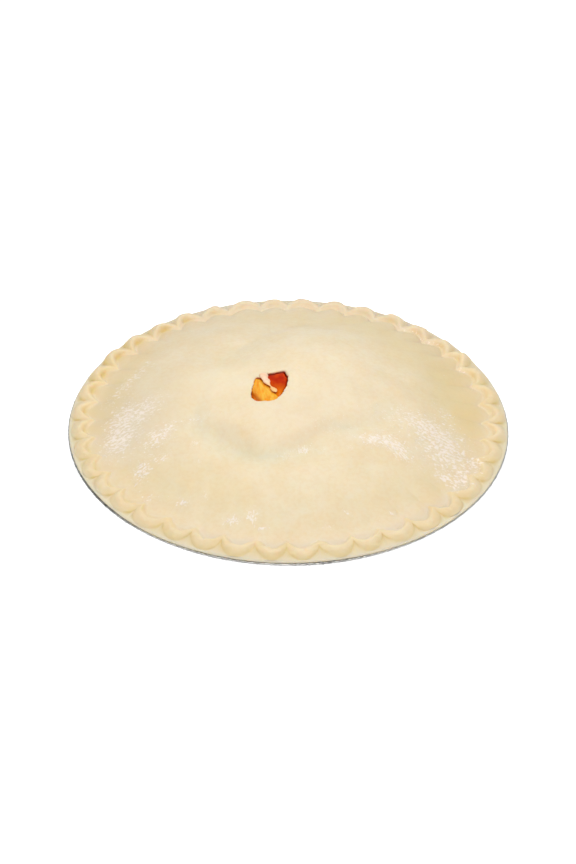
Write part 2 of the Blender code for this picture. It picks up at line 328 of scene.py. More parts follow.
# Flour rubbed on the lid: middle x and y, half length, half width, turn in degrees, strength
FLOUR_PATCHES = {
    "left streak": (-88, 30, 20, 4, 54, 0.75),
    "left edge": (-93.1, -2, 15, 6, 70, 0.7),
    "upper left": (-78.6, -3.1, 10.5, 7.5, 40, 0.8),
    "left flecks": (-63.7, -20.9, 4.2, 3, 60, 0.55),
    "left dashes": (-50.3, -19.2, 8, 3.2, 0, 0.5),
    "left rub": (-92.3, -23.2, 12, 8, 70, 0.95),
    "middle left": (-71.8, -27.1, 7, 5.5, 40, 0.95),
    "near left dab": (-79.5, -49.8, 8.5, 4.8, 80, 1.00),
    "near left fleck": (-68.3, -42.8, 4, 3.2, 0, 0.75),
    "vent fleck": (-51.3, -35.3, 2.6, 2.3, 0, 0.8),
    "small fleck": (-48, -49.7, 1.6, 1.6, 0, 0.6),
    "front left haze": (-76.4, -71.3, 7, 4.5, 0, 0.4),
    "ring spot": (-56.3, -76.2, 3.2, 2.8, 0, 1.00),
    "faint ring spot": (-43.7, -73.7, 2.2, 2.4, 0, 0.45),
    "front spot": (-30, -91.3, 4.2, 3, 0, 1.00),
    "tall front spot": (-18.5, -89.1, 5, 2.8, 80, 1.00),
    "low front spot": (-13.4, -97.1, 2.8, 1.7, 0, 0.85),
    "front haze": (-1.4, -49.5, 6, 5, 0, 0.38),
    "front dash": (8.3, -45, 4.2, 1.9, 0, 0.95),
    "front right fleck": (31.5, -86, 2.2, 1.8, 0, 0.75),
    "far right fleck": (56.5, -83, 1.8, 1.8, 0, 0.8),
    "crimp fleck": (22, -96, 3, 1.6, 0, 0.5),
    "second dash": (19.1, -44.1, 2.2, 1.8, 0, 0.5),
    "dot": (33.8, -43.5, 1.6, 1.6, 0, 0.85),
    "right dab": (45.8, -35.4, 6.6, 3.6, 0, 0.95),
    "right band": (59.4, -38.9, 10, 4.8, -50, 1.00),
    "right rub": (86.4, -34.9, 18, 13, -60, 0.88),
    "near right fleck": (84.6, -53, 3, 2.6, 0, 0.9),
    "near right band": (95.5, -55.2, 9, 4.8, 50, 1.00),
    "right edge dab": (103.9, -38.1, 5, 4, 40, 0.85),
    "mid right haze": (27, -29, 15, 6, 0, 0.3),
    "upper right haze": (70.8, -16.8, 19, 8, -10, 0.6),
    "right streak": (87.3, -2.9, 8.5, 3.8, -55, 0.5),
    "rim fleck": (68.5, 88, 5.2, 2, -30, 0.85),
    "second rim fleck": (81.6, 75, 8.5, 3, -42, 0.75),
    "third rim fleck": (98.7, 48.7, 2.4, 1.8, 0, 0.85),
}
FLOUR_SPREAD = 1.15
CRIMP_START = (0, 0.004)
CRIMP_LOSS = 0.4

# Loose grains of flour
FLOUR_SEED = 23
FLOUR_TRIES = 160000
FLOUR_STRAY = 0.02
FLOUR_CLOSENESS = 1.5
FLOUR_MARGIN = 0.002
MOST_GRAINS = 9000
GRAIN_SIZES = (0.00008, 0.00028)
GRAIN_ROUGHNESS = (0.7, 1.3)
GRAIN_LENGTHS = (0.8, 1.5)
GRAIN_WIDTHS = (0.7, 1.1)
GRAIN_FLATNESS = 0.35
ABOVE_THE_PIE = 0.1

# Yellower places, given as the flour is: partly the dough's own warmer tone, and partly painted shade in its
# valleys, creases and hollows and on slopes turned from the light
WARM_AND_SHADE_PATCHES = {
    "right slope": (92, 22, 50, 16, 90, 0.75),
    "thin right side": (97, 2, 12, 6, 70, 0.6),
    "left valley": (-95, 26, 50, 11, 70, 0.58),
    "far left valley": (-103, 2, 24, 10, 84, 0.85),
    "right valley": (103, -8, 26, 9, 84, 0.5),
    "mound crease": (-20, -40, 30, 12, -20, 0.05),
    "near left hollow": (-88, -50, 22, 14, -40, 0.4),
    "front right": (66, -64, 36, 18, 40, 0.3),
    "front left": (-46, -70, 40, 18, -20, 0.32),
    "near edge": (-20, -95, 16, 8, 0, 0.22),
    "right edge": (91, -56, 14, 9, 40, 0.35),
    "back right": (56, 67, 34, 18, -40, 0.6),
    "right shoulder": (71, 34, 22, 16, -45, 0.25),
    "back": (4, 88, 60, 14, 0, 0.3),
}

# Painted light: paler places, given as the flour is
LIGHT_PATCHES = {
    "round the vent": (-10.2, -2, 23, 19, 0, 0.32),
    "left of the vent": (-44, 10, 22, 16, 0, 0.3),
}

# Painted shade: greyer places on slopes, in a valley and before the mound's edge, given as the flour is
SHADE_PATCHES = {
    "before the vent": (8, -26, 30, 16, 0, 0.4),
    "right of the vent": (34, 0, 26, 16, 0, 0.3),
    "left slope": (-84, -14, 30, 18, 60, 0.7),
    "right slope": (84, -32, 26, 18, -60, 0.35),
    "far left valley": (-102, 4, 24, 10, 84, 0.5),
}

# Camera: how far it looks down and stands off, and where the rim lies in its frame, in pixels
FRAME_WIDTH = 576
FRAME_HEIGHT = 864
LOOK_DOWN = math.radians(36.7)
DISTANCE = 2.05
FOCAL_PIXELS = 3696
RIM_PIXEL = (288.3, 426.6)
ROLL = math.radians(0.35)
SENSOR = 36

# The studio floor's distance below the tin
FLOOR_GAP = 0.0002

# Screen colours that the marks give to the dough, channels out of 255, and how strongly: a yellow tone that
# is partly painted shade, painted light, painted grey shade and painted amber shade
TINTS = {
    "yolk": ((236, 210, 152), 0.72),
    "pale": ((255, 234, 203), 1.0),
    "blush": ((229, 213, 188), 0.7),
    "amber": ((228, 200, 126), 0.8),
}

# Linear greys, darker and lighter, of the foil, the painted dark reflections on its bead, the painted shade
# in its folds and the floor
FOIL_GREYS = ((0.74, 0.74, 0.73, 1), (0.84, 0.84, 0.83, 1))
DARK_BEAD_GREYS = ((0.13, 0.125, 0.12, 1), (0.42, 0.42, 0.41, 1))
FOLD_SHADE_GREY = (0.4, 0.4, 0.4, 1)
FLOOR_GREYS = ((0.92, 0.92, 0.92, 1), (0.94, 0.94, 0.94, 1))
WHITE = (1, 1, 1, 1)


def linear(*channels):
    """Linear colour of a screen colour with its channels out of 255."""
    return (*((channel / 255) ** 2.2 for channel in channels), 1)


def mix(start, end, share):
    """Value at a share of the way from start to end."""
    return start + (end - start) * share


def smooth(low, high, value):
    """0 up to low, 1 from high on and a smooth change between. High may be the smaller of the two."""
    share = np.clip((value - low) / (high - low), 0, 1)
    return share * share * (3 - 2 * share)


def bump(middle, spread, value):
    """1 at the middle, falling to 0 on both sides."""
    return np.exp(-(((value - middle) / spread) ** 2))


def ripple(x, y, wavelength, seed, waves=14):
    """Smooth uneven field of about unit size, with swells of about a wavelength."""
    draw = np.random.default_rng(seed)
    total = np.zeros(np.shape(x))
    for _ in range(waves):
        turn, phase = draw.uniform(0, math.tau, 2)
        length = wavelength * draw.uniform(0.7, 1.4)
        total += np.cos(math.tau * (x * math.cos(turn) + y * math.sin(turn)) / length + phase)
    return total * math.sqrt(2 / waves)


def patches(places, x, y, spread=1.0):
    """Sum of soft elliptical patches at each place, all widened by a spread."""
    x, y = x / MM, y / MM
    total = np.zeros(np.shape(x))
    for middle_x, middle_y, half_length, half_width, turn, strength in places.values():
        cosine = math.cos(math.radians(turn))
        sine = math.sin(math.radians(turn))
        along = ((x - middle_x) * cosine + (y - middle_y) * sine) / (spread * half_length)
        across = ((y - middle_y) * cosine - (x - middle_x) * sine) / (spread * half_width)
        total += strength * np.exp(-(along**2 + across**2))
    return total


def curve_value(before, start, end, after, share):
    """Value on a smooth curve between start and end, given its neighbours."""
    square = 2 * before - 5 * start + 4 * end - after
    cube = 3 * start - before - 3 * end + after
    return start + 0.5 * share * (end - before + share * (square + share * cube))


def outline(corners, turn):
    """Radius in each direction of a smooth closed curve through corners, and any value given at them."""
    fine = []
    for index in range(len(corners)):
        near = [corners[(index + step) % len(corners)] for step in (-1, 0, 1, 2)]
        for step in range(CURVE_STEPS):
            fine.append([curve_value(*values, step / CURVE_STEPS) for values in zip(*near)])
    x, y, *others = np.array(fine).T
    directions = np.arctan2(y, x)
    order = np.argsort(directions)
    tables = (np.hypot(x, y), *others)
    return [MM * np.interp(turn, directions[order], table[order], period=math.tau) for table in tables]


def mound_step(x, y):
    """Raised middle of the lid, which steps down behind the vent and in front of it."""
    x, y = x - MOUND_MIDDLE[0], y - MOUND_MIDDLE[1]
    edge, height = outline(MOUND_EDGE, np.arctan2(y, x))
    return height * (1 - MOUND_SINK - smooth(*MOUND_SOFTNESS, np.hypot(x, y) / edge))


def dome_height(x, y):
    """Height of the lid's upper face: a full pillow, its swells fading out at its foot."""
    fullness = (np.hypot(x, y) / DOME_RADIUS) ** DOME_FULLNESS
    steepness = 0.5 + 0.5 * np.cos(np.arctan2(y, x) - STEEP_SIDE)
    pillow = np.maximum(0, 1 - fullness) ** mix(EASY_POWER, STEEP_POWER, steepness)
    rise = (DOME_RISE - VALLEY_RISE + MM * patches(SWELLS, x, y) + mound_step(x, y)) * pillow
    eased = FOOT_EASE * (1 - np.exp(-rise / FOOT_EASE))
    regained = FOOT_EASE * smooth(0, FOOT_EASE_REACH, rise)
    return TIN_HEIGHT + VALLEY_RISE + (rise - eased + regained)


def uneven(field, x, y=0.0):
    """Unevenness at a place, of a field given by its size, wavelength and seed."""
    size, wavelength, seed = field
    return size * ripple(x, y, wavelength, seed)


def relief(fields, x, y):
    """Sum of several uneven fields at a place."""
    return sum(uneven(field, x, y) for field in fields)


def scallop_rows():
    """One (start angle, end angle, lobe size, lobe lift) for each scallop, uneven as pinched dough is."""
    draw = random.Random(SEED)
    pitch = math.tau / SCALLOPS
    shifts = [draw.uniform(-CUSP_SHIFT, CUSP_SHIFT) for _ in range(SCALLOPS)]
    cusps = [FIRST_CUSP + pitch * (step + shift) for step, shift in enumerate(shifts)]
    cusps.append(cusps[0] + math.tau)
    rows = []
    for start, end in zip(cusps, cusps[1:]):
        rows.append((start, end, draw.uniform(*LOBE_SIZES), draw.uniform(-LOBE_LIFT, LOBE_LIFT)))
    return rows


def rim_points():
    """Angle, share of its scallop, lobe size and lobe lift of each point round the rim, as arrays."""
    draw = random.Random(SEED + 1)
    columns = []
    for start, end, size, lift in scallop_rows():
        lean = draw.uniform(*LEANS)
        for step in range(LOBE_POINTS):
            share = step / LOBE_POINTS
            columns.append((mix(start, end, share), share**lean, size, lift))
    return np.array(columns).T


RIM_ANGLES, RIM_SHARES, LOBE_SIZE, LOBE_RISE = rim_points()
RIM_X = np.cos(RIM_ANGLES)
RIM_Y = np.sin(RIM_ANGLES)
ASIDE = np.abs(RIM_X)

# 1 at the middle of a lobe and 0 at its cusps, and the other way round
LOBE = np.sin(math.pi * RIM_SHARES)
CUSP = np.abs(np.cos(math.pi * RIM_SHARES))

# How far each point belongs to a part of the rim, from 0 to 1. NEAR is the front and the near right, where
# the lobes' inner sides are shaded, and SIDE the left and the near right, where the crimp lies further out
FRONT = smooth(0.7, 0.95, -RIM_Y)
BACK = smooth(0.3, 0.9, RIM_Y)
LEFT = smooth(-0.4, 0.4, -RIM_X)
RIGHT = smooth(-0.2, 0.6, RIM_X)
NEAR = smooth(0.25, 0.65, -RIM_Y) * smooth(-0.65, -0.35, RIM_X)
SIDE = smooth(mix(-0.95, -0.5, RIGHT), mix(-0.55, -0.05, RIGHT), -RIM_Y) * (1 - FRONT)
BACK_SIDES = smooth(0.15, 0.5, RIM_Y) * smooth(0.35, 0.7, ASIDE) * mix(0.5, 1.0, LEFT)

# The end of each lobe that lies nearer the front
NEAR_END = smooth(0.26, 0.08, np.where(RIM_X > 0, RIM_SHARES, 1 - RIM_SHARES))

# How deep the pits behind the lobes are and how much painted shade they get: most at the back left, and not
# at all in front
PITS = smooth(mix(0.1, -0.6, LEFT), 0.5, RIM_Y) * mix(0.1, 1.0, smooth(0.2, 0.6, ASIDE))
PITS = PITS * mix(0.6, 1.0, LEFT)
SIDE_PITS = SIDE * mix(0.4, 1.0, LEFT)


def angles(count):
    """Angles of count points round a ring."""
    return RIM_ANGLES[:: CRIMP_POINTS // count]


def ring(x, y, z, **marks):
    """Loop of points, each with its colour marks. A mark that isn't given is 0."""
    columns = (x, y, z, *(marks.get(mark, 0.0) for mark in MARKS))
    return np.column_stack([np.broadcast_to(column, np.shape(x)) for column in columns])


def level_ring(radius, height, count, **marks):
    """Round level loop of points."""
    turn = angles(count)
    return ring(radius * np.cos(turn), radius * np.sin(turn), height, **marks)


def crimp_line(cusp_inset, cusp_rise, lobe_inset, lobe_rise, pointedness, cusp_shift, lobe_shift):
    """Inset and rise of one line of the crimp at every point round the rim."""
    swing = LOBE_SIZE * LOBE ** (pointedness - SQUARENESS * SIDE)
    gain = mix(-FRONT_LOSS, BACK_GAIN, smooth(-0.6, 0.6, RIM_Y)) * lobe_rise / CREST_RISE
    inset = mix(cusp_inset - cusp_shift * SIDE, lobe_inset - lobe_shift * SIDE, swing)
    rise = mix(cusp_rise, lobe_rise + LOBE_RISE + gain, swing)
    return np.array([inset, rise])


def painted_spot(name, place):
    """Strength of a painted spot at a place between the crimp's lines: painted shade, and on the crests and
    at the sides painted light.
    """
    middle, spread, strength = PAINTED_SPOTS[name]
    return strength * bump(middle, spread, place)


def crimp_amber(place):
    """Painted shade in amber on the lobes' faces, in the notches between them and in the pits behind them."""
    face = painted_spot("face", place) * mix(*FACE_AMBER, FRONT) * (1 - BACK)
    side_notch = SIDE_NOTCH * CUSP**SIDE_NOTCH_POWER
    front_notch = FRONT_NOTCH * CUSP**FRONT_NOTCH_POWER
    notch = painted_spot("notch", place) * mix(side_notch, front_notch, FRONT) * (1 - BACK_NOTCH_LOSS * BACK)
    notch = notch + painted_spot("near crease", place) * NEAR_END * SIDE
    notch = notch + painted_spot("back notch", place) * CUSP**2 * BACK_SIDES
    pit = painted_spot("pit", place) * LOBE**5 + painted_spot("valley", place) * LOBE**2
    pit = pit * np.maximum(PITS, SIDE_PIT * SIDE_PITS) + painted_spot("side pit", place) * LOBE**3 * SIDE_PITS
    return np.clip(face + notch + pit, 0, 1)


def crimp_blush(place):
    """Painted grey shade: behind the near lobes, at the cusps' inner tips, in the pits at the sides and all
    over the back.
    """
    inner = smooth(INNER_START, VALLEY, place)
    cusps = CUSP_SHADE * inner * CUSP**2 * (1 - FRONT)
    shade = NEAR_SHADE * smooth(SHADE_START, PIT, place) * LOBE * NEAR
    back = BACK_SHADE * BACK * (1 - inner)
    return cusps + shade + back + painted_spot("pit shade", place) * LOBE**3 * SIDE


def crimp_marks(place):
    """Colour marks on the crimp at a place between its lines, from 0 at the foot to 6 at the valley: its
    yellow tone, painted shade and painted light.
    """
    # Yellow tone of the crimp, less at the back, made paler on the lobes' crests as painted light
    yolk = (1 - smooth(PIT, VALLEY, place)) * (CRIMP_YOLK - painted_spot("crest", place) * LOBE)
    # Painted light on the notches' feet and the lobes' faces, at the sides alone
    pale = painted_spot("pale notch", place) * CUSP**2 + painted_spot("pale face", place) * LOBE**2
    return {
        "yolk": yolk * (1 - BACK_YOLK_LOSS * BACK),
        "amber": crimp_amber(place),
        "blush": crimp_blush(place),
        "pale": pale * (1 - FRONT) * (1 - BACK),
    }


def crimp_ring(place, line):
    """Loop of points on the crimp, at a place between its lines."""
    inset, rise = line
    x = (TIN_RADIUS - inset) * RIM_X
    y = (TIN_RADIUS - inset) * RIM_Y
    rough = relief(CRIMP_RELIEF, x, y) * smooth(0, FACE, place)
    depth = HOLLOW_DEPTH * np.maximum(PITS, NEAR_HOLLOW * NEAR + SIDE_HOLLOW * SIDE)
    hollow = depth * bump(HOLLOW_PLACE, HOLLOW_SPREAD, place) * LOBE**4
    return ring(x, y, TIN_HEIGHT + rise + rough - hollow, **crimp_marks(place))


def dark_bead_share(turn):
    """How much painted darkening, for dark reflections, the tin's bead gets in each direction, from 0 to
    about 1.
    """
    total = np.zeros(np.shape(turn))
    for middle, half_width, strength in DARK_BEAD_SPOTS.values():
        away = np.degrees(turn) - middle
        total += strength * bump(0, half_width, (away + 180) % 360 - 180)
    return total


def brim_plan(inset):
    """Plan of a loop near the brim's edge, drawn in at the cusps behind and where the bead is painted darker.
    """
    wave = BRIM_WAVE * smooth(0.1, 0.6, RIM_Y) * CUSP**2
    radius = BRIM_RADIUS - (wave + BRIM_SHORT * dark_bead_share(RIM_ANGLES)) - inset
    return radius * RIM_X, radius * RIM_Y


def round_rim(sides, front, back):
    """Value round the rim, given at the sides, with what the front and the back add to it."""
    return sides + front * FRONT + back * BACK


def brim_rings():
    """The brim's rounded edge and flat top, out to the crimp's foot. It is thinner behind than in front."""
    top = TIN_HEIGHT + mix(BRIM_RISE, BRIM_BACK_RISE, smooth(-0.5, 0.3, RIM_Y))
    rings = []
    for turn in EDGE_TURNS:
        x, y = brim_plan(BRIM_EDGE * (1 - math.cos(turn)))
        height = top - EDGE_DROP * (1 - math.sin(turn))
        # Painted shade, more in front and behind and darkening the edge as it turns down; painted light lifts
        # the top
        blush = round_rim(*BRIM_SHADE) + EDGE_SHADE * math.cos(turn)
        pale = round_rim(*BRIM_LIGHT) * math.sin(turn)
        rings.append(ring(x, y, height, yolk=BRIM_YOLK, blush=blush, pale=pale))
    return rings


def crimp_rings():
    """The pinched wall, smooth through its lines, from the foot on the brim to the valley."""
    lines = [crimp_line(*line) for line in CRIMP_LINES.values()]
    last = len(lines) - 1
    rings = []
    for index in range(last):
        near = [lines[min(max(index + step, 0), last)] for step in (-1, 0, 1, 2)]
        for step in range(LINE_STEPS):
            share = step / LINE_STEPS
            rings.append(crimp_ring(index + share, curve_value(*near, share)))
    return rings


def lid_plan(share, count, spread, outer=DOME_RADIUS):
    """Plan of a loop on the lid, from the vent's outline at share 0 to a circle round the pie at 1."""
    turn = angles(count)
    edge = outline(VENT_CORNERS, turn)[0] * spread + uneven(TORN_EDGE, turn)
    x = mix(VENT_X + edge * np.cos(turn), outer * np.cos(turn), share)
    y = mix(VENT_Y + edge * np.sin(turn), outer * np.sin(turn), share)
    return x, y


def closing_shares(count):
    """Shares from 0 to 1 that lie closer together towards 1, where the lid is steep."""
    steps = np.linspace(0, 1, count + 1)
    return mix(steps, np.sin(math.pi / 2 * steps), CLOSING)


def lid_ring(share):
    """Loop on the lid's upper face. Near its foot it takes up the crimp's wavy valley."""
    count = CRIMP_POINTS if share > CRIMP_FROM else MIDDLE_POINTS if share > MIDDLE_FROM else VENT_POINTS
    every = CRIMP_POINTS // count
    inset, rise = crimp_line(*CRIMP_LINES["valley at the lid's foot"])[:, ::every]
    foot = smooth(FOOT_FROM, 1, share)
    outer = mix(DOME_RADIUS, TIN_RADIUS - inset, smooth(EASE_FROM, 1, share))
    x, y = lid_plan(share, count, LIP_SPREAD, outer)
    within = DOME_RADIUS / outer
    rough = relief(LID_RELIEF, x, y) * (1 - smooth(EASE_FROM, RELIEF_END, share))
    z = dome_height(x * within, y * within) + foot * (rise - VALLEY_RISE) + rough
    # The crimp's painted shade and light run on into the lid's foot; the patches add yellow tone, painted
    # shade and painted light
    marks = {mark: values[::every] * foot**2 for mark, values in crimp_marks(VALLEY).items()}
    for mark, places in (("yolk", WARM_AND_SHADE_PATCHES), ("blush", SHADE_PATCHES), ("pale", LIGHT_PATCHES)):
        marks[mark] = np.clip(patches(places, x, y) + marks[mark], 0, 1)
    return ring(x, y, z, **marks)


def lip_rings():
    """The vent's torn edge, rounded above and stained with juice down its wall."""
    rings = []
    for spread, drop, juice in LIP:
        x, y = lid_plan(0, VENT_POINTS, spread)
        rings.append(ring(x, y, dome_height(x, y) - drop * DOUGH, juice=juice))
    return rings


def cavity_rings(gap):
    """Space under the lid less a gap: from round the vent out to the wall, down it and over the floor."""
    radius = CAVITY_RADIUS - gap
    rings = []
    for share in closing_shares(LID_RINGS):
        x, y = lid_plan(share, BASE_POINTS, LIP_SPREAD, radius)
        rings.append(ring(x, y, dome_height(x, y) - DOUGH - gap, juice=1.0))
    rings.append(level_ring(radius, TIN_HEIGHT - CAVITY_WALL_DROP + gap, BASE_POINTS, juice=1.0))
    rings.append(level_ring(CAVITY_FLOOR - gap, FOIL + GAP + DOUGH + gap, BASE_POINTS, juice=1.0))
    return rings


def corner(radius, height, size, turn, side):
    """Point on a rounded corner that starts level at (radius, height) and turns up or down."""
    return (radius + side * size * math.sin(turn), height + side * size * (1 - math.cos(turn)))


def tin_profile():
    """Middle line of the foil as (radius, height), from near the axis out to its bead."""
    floor = FOIL / 2
    top = TIN_HEIGHT - FOIL / 2
    lean = math.atan2(TIN_HEIGHT, WALL_RUN)
    floor_end = FLOOR_RADIUS - FLOOR_CORNER * math.tan(lean / 2)
    flange_start = MOUTH_RADIUS + MOUTH_CORNER * math.tan(lean / 2)
    bead_middle = TIN_RADIUS - FOIL / 2 - BEAD_RADIUS
    turns = [lean * step / CORNER_STEPS for step in range(CORNER_STEPS + 1)]
    points = [(share * floor_end, floor) for share in FLOOR_SHARES]
    points += [corner(floor_end, floor, FLOOR_CORNER, turn, 1) for turn in turns]
    low = points[-1]
    high = corner(flange_start, top, MOUTH_CORNER, lean, -1)
    points += [(mix(low[0], high[0], share), mix(low[1], high[1], share)) for share in WALL_SHARES]
    points += [corner(flange_start, top, MOUTH_CORNER, turn, -1) for turn in reversed(turns)]
    points += [(mix(flange_start, bead_middle, share), top) for share in FLANGE_SHARES]
    for step in range(BEAD_STEPS + 1):
        turn = math.pi / 2 - BEAD_TURN * step / BEAD_STEPS
        up = BEAD_RADIUS * math.sin(turn)
        points.append((bead_middle + BEAD_RADIUS * math.cos(turn), top - BEAD_RADIUS + up))
    return np.array(points)


def normals(profile):
    """Unit direction square to a profile at each point, towards the inside of the tin."""
    along = np.gradient(profile, axis=0)
    across = np.column_stack([-along[:, 1], along[:, 0]])
    return across / np.linalg.norm(across, axis=1, keepdims=True)


def base_rings():
    """The pastry's outside within the tin: its flat floor, the wall and the brim's underside."""
    profile = tin_profile()
    lining = (profile + normals(profile) * (FOIL / 2 + GAP))[: -BEAD_STEPS - 1]
    outer = [(radius, height) for radius, height in lining if radius > FLOOR_RADIUS / 2]
    rings = [level_ring(radius, height, BASE_POINTS) for radius, height in outer]
    # Painted shade on the brim's edge, underneath
    rings.append(ring(*brim_plan(BRIM_EDGE), TIN_HEIGHT + GAP, blush=EDGE_SHADE))
    return rings


def ring_faces(first, second):
    """Faces between two loops of point numbers whose counts are equal or one a multiple of the other."""
    longer = max(len(first), len(second))
    faces = []
    for step in range(longer):
        corners = []
        for loop, steps in ((first, (step, step + 1)), (second, (step + 1, step))):
            for number in steps:
                point = loop[number % longer * len(loop) // longer]
                if point not in corners:
                    corners.append(point)
        faces.append(corners)
    return faces


def add_mark(piece, mark, values):
    """Store a colour mark on a piece's points."""
    attribute = piece.data.attributes.new(mark, "FLOAT", "POINT")
    attribute.data.foreach_set("value", np.ascontiguousarray(values, dtype=np.float32))


def make_mesh(name, points, faces, material, marks):
    """Smooth piece with its faces pointing out and its colour marks stored on its points."""
    mesh = bpy.data.meshes.new(name)
    mesh.from_pydata(points, [], faces)
    shape = bmesh.new()
    shape.from_mesh(mesh)
    bmesh.ops.recalc_face_normals(shape, faces=shape.faces)
    shape.to_mesh(mesh)
    shape.free()
    mesh.shade_smooth()
    mesh.materials.append(material)
    piece = bpy.data.objects.new(name, mesh)
    bpy.context.scene.collection.objects.link(piece)
    for mark, values in marks.items():
        add_mark(piece, mark, values)
    return piece


def loft(name, rings, material, close=True):
    """Solid through a run of loops, closed by a face at each end or by returning to the first loop."""
    table = np.vstack(rings)
    ends = np.cumsum([len(points) for points in rings])
    loops = [range(end - len(points), end) for end, points in zip(ends, rings)]
    pairs = list(zip(loops, loops[1:]))
    faces = []
    if close:
        faces += [list(loops[0]), list(loops[-1])]
    else:
        pairs.append((loops[-1], loops[0]))
    for first, second in pairs:
        faces += ring_faces(first, second)
    marks = dict(zip(MARKS, table[:, 3:].T))
    return make_mesh(name, table[:, :3].tolist(), faces, material, marks)


def flour_strength(x, y):
    """How thickly flour lies at a place, from 0 to 1. It lies thinner on the crimp."""
    crimp = smooth(*CRIMP_START, np.hypot(x, y) - DOME_RADIUS)
    return np.clip(patches(FLOUR_PATCHES, x, y, FLOUR_SPREAD), 0, 1) * (1 - CRIMP_LOSS * crimp)


class Nodes:
    """A new material, with short ways to add shader nodes to it."""

    def __init__(self, name):
        self.material = bpy.data.materials.new(name)
        self.material.use_nodes = True
        self.tree = self.material.node_tree
        self.shader = self.tree.nodes["Principled BSDF"]

    def put(self, socket, value):
        """Feed a socket from another node's output or with a constant."""
        if isinstance(value, bpy.types.NodeSocket):
            self.tree.links.new(value, socket)
        else:
            socket.default_value = value

    def add(self, kind, output, settings, inputs):
        """One output of a new node with these settings and inputs."""
        made = self.tree.nodes.new("ShaderNode" + kind)
        for key, value in settings.items():
            setattr(made, key, value)
        for key, value in inputs.items():
            self.put(made.inputs[key], value)
        return made.outputs[output]

    def math(self, operation, first, second=0.0):
        """Result of an operation on one or two values."""
        return self.add("Math", 0, {"operation": operation}, {0: first, 1: second})

    def times(self, first, second):
        """Product of two values."""
        return self.math("MULTIPLY", first, second)

    def mark(self, name, strength=1.0):
        """Colour mark on the points, scaled by a strength."""
        return self.times(self.add("Attribute", "Fac", {"attribute_name": name}, {}), strength)

    def place(self):
        """Place on the piece in metres."""
        return self.add("TexCoord", "Object", {}, {})

    def noise(self, scale, detail=2.0, roughness=0.5, place=None):
        """Uneven value from 0 to 1, with about scale swells in a metre."""
        vector = self.place() if place is None else place
        inputs = {"Vector": vector, "Scale": scale, "Detail": detail, "Roughness": roughness}
        return self.add("TexNoise", "Fac", {}, inputs)

    def ramp(self, value, low, high):
        """0 below low and 1 above high, with a smooth rise between."""
        inputs = {"Value": value, "From Min": low, "From Max": high}
        return self.add("MapRange", "Result", {"interpolation_type": "SMOOTHSTEP"}, inputs)

    def clouds(self, low, high, scale, **noise):
        """Soft patches, 0 where noise is below low and 1 where it is above high."""
        return self.ramp(self.noise(scale, **noise), low, high)

    def blend(self, share, first, second):
        """Colour at a share of the way from first to second."""
        return self.add("Mix", 2, {"data_type": "RGBA"}, {0: share, 6: first, 7: second})

    def bump(self, height, distance):
        """Normal of a face made uneven, up to a distance."""
        return self.add("Bump", 0, {}, {"Height": height, "Distance": distance})

    def set(self, **inputs):
        """Feed the shader's own sockets, named with underscores for spaces."""
        for key, value in inputs.items():
            self.put(self.shader.inputs[key.replace("_", " ")], value)


def streak_place(nodes):
    """Coordinates drawn out down the lid's slope, so that noise in them runs in streaks."""
    x, y = (nodes.add("SeparateXYZ", axis, {}, {0: nodes.place()}) for axis in "XY")
    turn = nodes.math("ARCTAN2", x, nodes.times(y, -1.0))
    radius = nodes.math("SQRT", nodes.math("ADD", nodes.times(x, x), nodes.times(y, y)))
    return nodes.add("CombineXYZ", 0, {}, {"X": nodes.times(turn, 0.085), "Y": nodes.times(radius, 0.4)})


def flour_cover(nodes):
    """Where flour covers the dough: strokes of fibres and grains, fewer where it is thin, and a haze."""
    strength = nodes.mark("flour")
    fibres = nodes.noise(scale=880, detail=3, roughness=0.65, place=streak_place(nodes))
    grains = nodes.noise(scale=660, detail=4, roughness=0.7)
    texture = nodes.math("ADD", nodes.times(fibres, 0.6), nodes.times(grains, 0.4))
    needed = nodes.math("SUBTRACT", 0.625, nodes.times(strength, 0.148))
    strokes = nodes.ramp(nodes.math("SUBTRACT", texture, needed), low=-0.02, high=0.04)
    haze = nodes.times(strength, 0.1)
    return nodes.math("MAXIMUM", nodes.times(strokes, nodes.ramp(strength, low=0.02, high=0.3)), haze)


def dough_material():
    """Raw dough: pale and faintly mottled, yellower on the crimp, dusted with flour, with painted amber shade
    in its creases and painted grey shade and painted light where marked.
    """
    nodes = Nodes("raw_dough")
    mottle = nodes.times(nodes.clouds(0.35, 0.68, scale=60, detail=4), 0.45)
    speckle = nodes.times(nodes.clouds(0.4, 0.66, scale=420, detail=3, roughness=0.6), 0.38)
    plain = linear(243, 225, 194)
    warm = linear(238, 213, 171)
    white = linear(254, 240, 226)
    stained = linear(172, 60, 14)
    colour = nodes.blend(nodes.math("ADD", mottle, speckle), plain, warm)
    for mark, (tint, strength) in TINTS.items():
        colour = nodes.blend(nodes.mark(mark, strength), colour, linear(*tint))
    flour = flour_cover(nodes)
    colour = nodes.blend(nodes.times(flour, 0.95), colour, white)
    colour = nodes.blend(nodes.mark("juice"), colour, stained)
    height = nodes.math("ADD", nodes.noise(scale=700, detail=3), nodes.times(flour, 0.3))
    nodes.set(
        Base_Color=colour,
        Roughness=0.62,
        Subsurface_Weight=nodes.math("SUBTRACT", 0.6, nodes.times(flour, 0.5)),
        Subsurface_Radius=(1.0, 0.75, 0.45),
        Subsurface_Scale=0.0035,
        Specular_IOR_Level=0.35,
        Normal=nodes.bump(height, 0.00006),
    )
    return nodes.material


